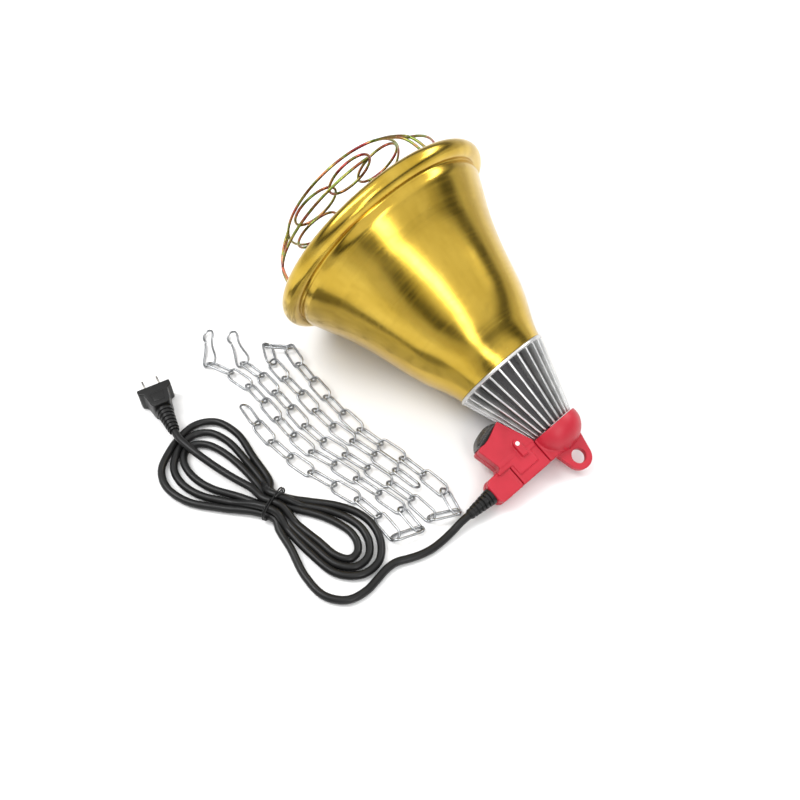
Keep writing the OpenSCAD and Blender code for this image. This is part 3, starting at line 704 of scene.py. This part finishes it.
def makeHousing():
    h = housing
    x = lamp["eyelet"]
    ring = moved(spun([(-2.9, 6.35), (-2.5, 6.05), (2.5, 6.05), (2.9, 6.35), (2.9, 10.9), (2.4, 11.3),
                       (-2.4, 11.3), (-2.9, 10.9)], 64, axis="Z"), Matrix.Translation((x, 0, 0)))
    ear = slab([(220, 15.3), (228, 14.6), (x + 2.4, 11), *arc(x, 0, 8.6, 78, 282, 20), (x + 2.4, -11),
                (228, -14.6), (220, -15.3)], -2.9, 2.9, 0.5)
    root = slab([(h["armBack"], -6), (h["armBack"], -23.2), (h["armFront"] + 0.3, -23.2),
                 (h["armFront"] + 0.3, -19), (220, -15), (220, -6)], -h["half"], h["half"], 1.2)
    arm = slab(armOutline(-18, h["armEnd"]), -h["half"], -h["seam"], 1.0)
    box = slab(boxOutline(), -h["boxHalf"], -h["seam"], 1.0)
    socket = slab([(211, -20), (226, -20), (226, -60), (211, -60)], -4, 3, 0.5)
    mesh = softUnion([capShell(), ring, ear, root, arm, box, socket], h["voxel"], 4)
    placed("housing", mesh, lampPlace, "red_plastic", "fixture", ["rear_housing"], smooth=180)


def makeCovers():
    h = housing
    seam = h["seam"]
    back, front = h["armBack"], h["armFront"]
    top = slab(boxOutline(), seam, h["boxHalf"], 1.1, 4)
    arm = slab([(back, -23.8), (back, -52.8), (front - 1.5, -52.8), (front - 1.5, -23.8)],
               seam, h["half"], 1.0, 4)
    step = slab([(front - 2, -31), (front + 13, -31), (front + 13, -50.5), (front - 2, -50.5)],
                h["half"] - 2, h["half"] + 1.15, 0.6)
    rib = slab([(front - 4, -24.6), (front - 4, -60.5), (front - 0.6, -60.5), (front - 0.6, -24.6)],
               h["boxHalf"] - 2, h["boxHalf"] + 0.35, 0.35)
    lugLine = [(212.5, -34.2), (212.5, -40), (203, -40.2), *arc(201.6, -37, 3.2, 270, 90, 10), (203, -33.8)]
    lug = slab(lugLine, h["boxHalf"] - 2, h["boxHalf"] + 3.2, 0.7)
    mesh = softUnion([top, arm, step, rib, lug], 0.42, 3)
    placed("covers", mesh, lampPlace, "red_plastic", "fixture", ["housing_cover"], smooth=180)
    # pale disc at the lug's end: painted light where the floor shows through the lug's hole
    eye = moved(spun([(0, 0.05), (0, 1.55), (0.35, 1.75), (0.5, 1.2), (0.5, 0.05)], 28, axis="Z"),
                Matrix.Translation((201.8, -37, h["boxHalf"] + 2.95)))
    finished("lugPaintedHoleLight", *eye, lampPlace, "pale_plastic", "fixture")
    clamp = slab([(back, -53.3), (back, -74), (back - 3, h["armEnd"]), (front + 3, h["armEnd"]),
                  (front, -73), (front, -53.3)], seam, h["half"] - 0.7, 1.2, 4)
    ridge = slab([(back - 1.6, -53.6), (back - 1.6, -55.2), (front + 1.6, -55.2), (front + 1.6, -53.6)],
                 h["half"] - 2, h["half"] - 0.25, 0.35)
    mesh = softUnion([clamp, ridge], 0.42, 3)
    placed("clampCover", mesh, lampPlace, "red_plastic", "fixture", ["clamp_cover"], smooth=180)


makeHousing()
makeCovers()
print("housing made")


# soft seal over the rocker, in a place on the box's open end with +X outwards

switch = {"inner": (178, -36), "outer": (186, -64.5), "wide": 12.6, "tall": 8, "deep": 6.6, "ribs": 9}
faceTurn = math.pi + math.atan2(switch["outer"][0] - switch["inner"][0],
                                switch["inner"][1] - switch["outer"][1])
faceMiddle = [(a + b) / 2 for a, b in zip(switch["inner"], switch["outer"])] + [0]
facePlace = lampPlace @ Matrix.Translation(faceMiddle) @ Matrix.Rotation(faceTurn, 4, "Z")


def makeSeal():
    s = switch
    rows, cols = 28, 48
    verts = []
    for i in range(rows + 1):
        up = i / rows * 2 - 1
        for k in range(cols + 1):
            along = k / cols * 2 - 1
            dome = max(0, 1 - abs(along) ** 2.6) ** 0.55 * max(0, 1 - abs(up) ** 3.2) ** 0.5
            rib = 0.22 * math.cos(math.pi * s["ribs"] * up) * dome
            verts.append((-0.4 + (s["deep"] - 1) * dome + rib, along * s["wide"], up * s["tall"]))
    wide = cols + 1
    faces = [(i * wide + k, i * wide + k + 1, (i + 1) * wide + k + 1, (i + 1) * wide + k)
             for i in range(rows) for k in range(cols)]
    mesh = bpy.data.meshes.new("seal")
    mesh.from_pydata(verts, [], faces)
    piece = bpy.data.objects.new("seal", mesh)
    bpy.context.collection.objects.link(piece)
    skin = piece.modifiers.new("skin", "SOLIDIFY")
    skin.thickness = 0.9
    skin.offset = -1
    placed("seal", evaluated(piece), facePlace, "clear_rubber", "fixture", ["switch_seal"], smooth=180)


makeSeal()
print("seal made")


# slotted strain relief, its base on the arm's end

boot = {"base": -77, "tip": -101, "baseRadius": 6.7, "tipRadius": 4.3, "bands": 7}


def makeBoot():
    b = boot
    place = lampPlace @ Matrix.Translation((219.1, 0, 0)) @ Matrix.Rotation(math.pi / 2, 4, "X")
    length = b["base"] - b["tip"]
    start = -b["base"]
    core = [(start - 3, 3.2), (start - 3, 4.5), (start, 4.5),
            (start + length - 0.2, 3.75), (start + length - 0.2, 3.2)]
    shapes = [spun(core, 40, axis="Z")]
    pitch = length / b["bands"]
    for k in range(b["bands"]):
        z = start + 0.1 + k * pitch
        share = k / (b["bands"] - 1)
        r = b["baseRadius"] + (b["tipRadius"] - b["baseRadius"]) * share
        thick = pitch * (0.72 if k else 0.9)
        band = [(z, 3.4), (z, r - 0.3), (z + 0.3, r), (z + thick - 0.3, r - 0.12),
                (z + thick, r - 0.45), (z + thick, 3.4)]
        shapes.append(spun(band, 48, axis="Z"))
        if k < b["bands"] - 1:
            for side in (0, 1):  # bridges between bands, turned a quarter each time
                a = math.pi * side + math.pi / 2 * (k % 2)
                bridge = slab([(r - 2.6, -1.9), (r - 0.5, -1.9), (r - 0.5, 1.9), (r - 2.6, 1.9)],
                              z + thick - 0.5, z + pitch + 0.5, 0.3, 2)
                shapes.append(moved(bridge, Matrix.Rotation(a, 4, "Z")))
    verts, faces = merged(shapes)
    finished("boot", verts, faces, place, "black_rubber", "fixture", ["strain_relief"])


makeBoot()
print("strain relief made")


# bent wire guard

guard = {"wire": 2.3, "hoop": 60, "depth": 52, "rear": 83, "rearAt": -30, "legs": (65, 185, 305),
         "pair": 3.6, "petal": 21, "petalAt": 38, "freeEnd": 94, "rearTurn": 334, "foot": (2, 86.6)}


def round3(x, r, degrees):
    a = math.radians(degrees)
    return (x, r * math.cos(a), r * math.sin(a))


def makeGuard():
    g = guard
    wires = []
    hoop = [round3(-g["depth"], g["hoop"], a) for a in np.arange(0, 360, 3)]
    wires.append(swept(hoop, g["wire"] / 2, 12, True))
    rear = [round3(g["rearAt"], g["rear"], a)
            for a in np.arange(g["freeEnd"], g["freeEnd"] + g["rearTurn"], 2.5)]
    wires.append(swept(rear, g["wire"] / 2, 12))
    for angle in g["legs"]:
        turn = Matrix.Rotation(math.radians(angle - 90), 4, "X")
        line = [(-g["depth"], 60), (-44, 70.5), (g["rearAt"], 83), (-14, 87.2), g["foot"]]
        leg = [(x, -g["pair"], r) for x, r in line]
        bend = [(g["foot"][0] + g["pair"] * math.cos(t), -g["pair"] * math.sin(t), g["foot"][1])
                for t in np.linspace(math.pi / 2, -math.pi / 2, 7)][1:-1]
        back = [(x, g["pair"], r) for x, r in reversed(line)]
        path = smoothLine([turn @ Vector(p) for p in [*leg, *bend, *back]], 1.6)
        wires.append(swept(path, g["wire"] / 2, 12))
    for k in range(6):
        at = math.radians(35 + 60 * k)
        x = -g["depth"] + (k % 2 + 1) * 2.5
        ring = [(x, g["petalAt"] * math.cos(at) + g["petal"] * math.cos(t),
                 g["petalAt"] * math.sin(at) + g["petal"] * math.sin(t))
                for t in np.linspace(0, 2 * math.pi, 72, endpoint=False)]
        wires.append(swept(ring, g["wire"] / 2, 12, True))
    verts, faces = merged(wires)
    finished("guardWires", verts, faces, lampPlace, "yellow_zinc", "guard", ["wire_guard"], smooth=60)


makeGuard()
print("guard made")


# loose chain and its two clips

chain = {
    "wire": 2, "long": 28, "wide": 12, "hook": 1.6, "roll": 35,
    "run": [(-46, -129), (-20, -127), (20, -131), (60, -134), (100, -127), (140, -121), (166, -119),
            (185, -119), (190, -108), (186, -97), (166, -96), (140, -97), (115, -99), (88, -103),
            (60, -103), (30, -100), (0, -96), (-24, -91), (-39, -88), (-47, -96), (-45, -107),
            (-24, -111), (20, -115), (60, -118), (100, -113), (136, -109), (160, -108)],
    "shortRun": [(-66, -151), (-40, -143), (-20, -141), (20, -145), (60, -148), (100, -140), (140, -134),
                 (164, -131), (179, -133), (183, -142), (177, -151), (160, -149), (134, -149), (105, -155),
                 (78, -161), (48, -164), (16, -162), (-8, -158), (-22, -168)],
}
clip = {"roll": -28, "wide": 6, "side": 6.2, "starts": ((-46, -129, 160), (-66, -151, 147)),
        "line": [(22, 3.4, 0), (16, 3.7, 0), (9, 4.7, 0), (2, 6, 0), (-2.5, 6.2, 0), (-5.4, 4.6, 0),
                 (-6, 0, 0), (-5.4, -4.6, 0), (-2.5, -6.2, 0), (2, -6, 0), (9, -4.7, 0), (16, -3.7, 0),
                 (22, -3.8, 0), (28, -5, 0), (33, -4.4, 0), (36, 0, 0), (33, 4.4, 0), (28.5, 4.9, 0),
                 (24.8, 3.4, 0)]}


def plainLine(points, steps=6):  # the same curve and lengths as the CAD chain's
    p = np.array(points, float)
    n = len(p)
    line = []
    for i in range(n - 1):
        a, b, c, d = p[max(i - 1, 0)], p[i], p[i + 1], p[min(i + 2, n - 1)]
        for t in np.arange(steps) / steps:
            line.append(0.5 * (2 * b + (c - a) * t + (2 * a - 5 * b + 4 * c - d) * t * t
                               + (3 * b - a - 3 * c + d) * t ** 3))
    return np.array([*line, p[-1]])


def linkShape(start, end, roll):
    c = chain
    bend = (c["wide"] - c["wire"]) / 2
    span = c["long"] / 2 - c["wire"] / 2 - bend
    loop = arc(span, 0, bend, -90, 90, 14)[:-1] + [(span * s, bend) for s in (1, 0.5, 0, -0.5)]
    loop += arc(-span, 0, bend, 90, 270, 14)[:-1] + [(span * s, -bend) for s in (-1, -0.5, 0, 0.5)]
    sizes = [c["wire"] / 2 * (0.99 if abs(x) > 1 or y < 0 else 1.0) for x, y in loop]
    shape = swept([(x, y, 0) for x, y in loop], sizes, 12, True)
    middle = (start + end) / 2
    way = math.atan2(end[1] - start[1], end[0] - start[0])
    height = bend * math.sin(math.radians(c["roll"])) + c["wire"] / 2
    place = (Matrix.Translation((middle[0], middle[1], height)) @ Matrix.Rotation(way, 4, "Z")
             @ Matrix.Rotation(math.radians(roll), 4, "X"))
    return moved(shape, place)


def makeChain():
    c = chain
    pitch = c["long"] - c["wire"] - 2 * c["hook"]
    links = []
    for route in (c["run"], c["shortRun"]):
        line = plainLine(route)
        run = np.concatenate([[0], np.cumsum(np.linalg.norm(np.diff(line, axis=0), axis=1))])
        at = np.arange(int(run[-1] / pitch) + 1) * pitch
        hooks = np.stack([np.interp(at, run, line[:, k]) for k in range(2)], axis=1)
        links += [linkShape(hooks[k], hooks[k + 1], -c["roll"] if k % 2 == 0 else c["roll"])
                  for k in range(len(hooks) - 1)]
    verts, faces = merged(links)
    finished("chainLinks", verts, faces, floorPlace, "zinc_wire", "chain", ["hanging_chain"], smooth=60)
    clips = []
    for x, y, turn in clip["starts"]:
        height = clip["side"] * math.sin(math.radians(-clip["roll"])) + c["wire"] / 2
        place = (Matrix.Translation((x, y, height)) @ Matrix.Rotation(math.radians(turn), 4, "Z")
                 @ Matrix.Rotation(math.radians(clip["roll"]), 4, "X")
                 @ Matrix.Translation((clip["wide"] - c["hook"], 0, 0)))
        clips.append(moved(swept(smoothLine(clip["line"], 1.0), c["wire"] / 2 * 0.97, 12), place))
    verts, faces = merged(clips)
    finished("clips", verts, faces, floorPlace, "zinc_wire", "chain", ["snap_clips"], smooth=60)


makeChain()
print("chain made")


# the parts that stay as they come from the frame take their finish by slot

for part in frame["record"]["subparts"]:
    node = frame["nodes"][part["node"]]
    node.data.materials.clear()
    node.data.materials.append(finishes[part["material_slot"]])


# floor and light

studio = {"floor": (0.90, 0.90, 0.90), "size": 6, "world": 1.12,
          "sky": [(0.0, 0.8), (0.19, 0.72), (0.25, 0.04), (0.42, 0.06), (0.56, 1.0),
                  (1.0, 1.1)],  # grey by height, with a dark band that gives the metal its contrast
          "lights": (("key", (-0.7, -0.7, 1.5), (0, 0, 0.05), (0.5, 1.1), 17),
                     ("fill", (1.3, -0.6, 1.1), (0, 0, 0.05), (0.3, 1.2), 9),
                     ("back", (0.1, 1.4, 1.3), (0, 0, 0.05), (1.4, 0.3), 12))}


def makeStudio():
    bpy.ops.mesh.primitive_plane_add(size=studio["size"], location=(0, 0, -0.0002))
    floor = bpy.context.object
    floor.name = "floor"
    paint = Finish("floorPaint", roughness=0.6)
    grain = paint.noise(world(paint, 300), 1.0, 2)
    paint.set(baseColor=paint.ramp(grain, [(0.3, (0.84, 0.84, 0.84)), (0.7, studio["floor"])]))
    floor.data.materials.append(paint.material)
    for name, place, aim, size, power in studio["lights"]:
        data = bpy.data.lights.new(name, "AREA")
        data.shape = "RECTANGLE"
        data.size, data.size_y = size
        data.energy = power
        light = bpy.data.objects.new(name, data)
        bpy.context.collection.objects.link(light)
        light.location = place
        light.rotation_mode = "QUATERNION"
        light.rotation_quaternion = (Vector(aim) - Vector(place)).to_track_quat("-Z", "Y")
    sky = bpy.data.worlds.new("studio")
    sky.use_nodes = True
    nodes, links = sky.node_tree.nodes, sky.node_tree.links
    place, split, ramp = (nodes.new("ShaderNode" + kind)
                          for kind in ("TexCoord", "SeparateXYZ", "ValToRGB"))
    links.new(place.outputs["Generated"], split.inputs[0])
    links.new(split.outputs["Z"], ramp.inputs["Fac"])
    while len(ramp.color_ramp.elements) < len(studio["sky"]):
        ramp.color_ramp.elements.new(0.5)
    for element, (height, grey) in zip(ramp.color_ramp.elements, studio["sky"]):
        element.position = height
        element.color = (grey, grey, grey, 1)
    links.new(ramp.outputs["Color"], nodes["Background"].inputs["Color"])
    nodes["Background"].inputs["Strength"].default_value = studio["world"]
    bpy.context.scene.world = sky
    bpy.context.scene.view_settings.view_transform = "Standard"


makeStudio()
print("studio lit")
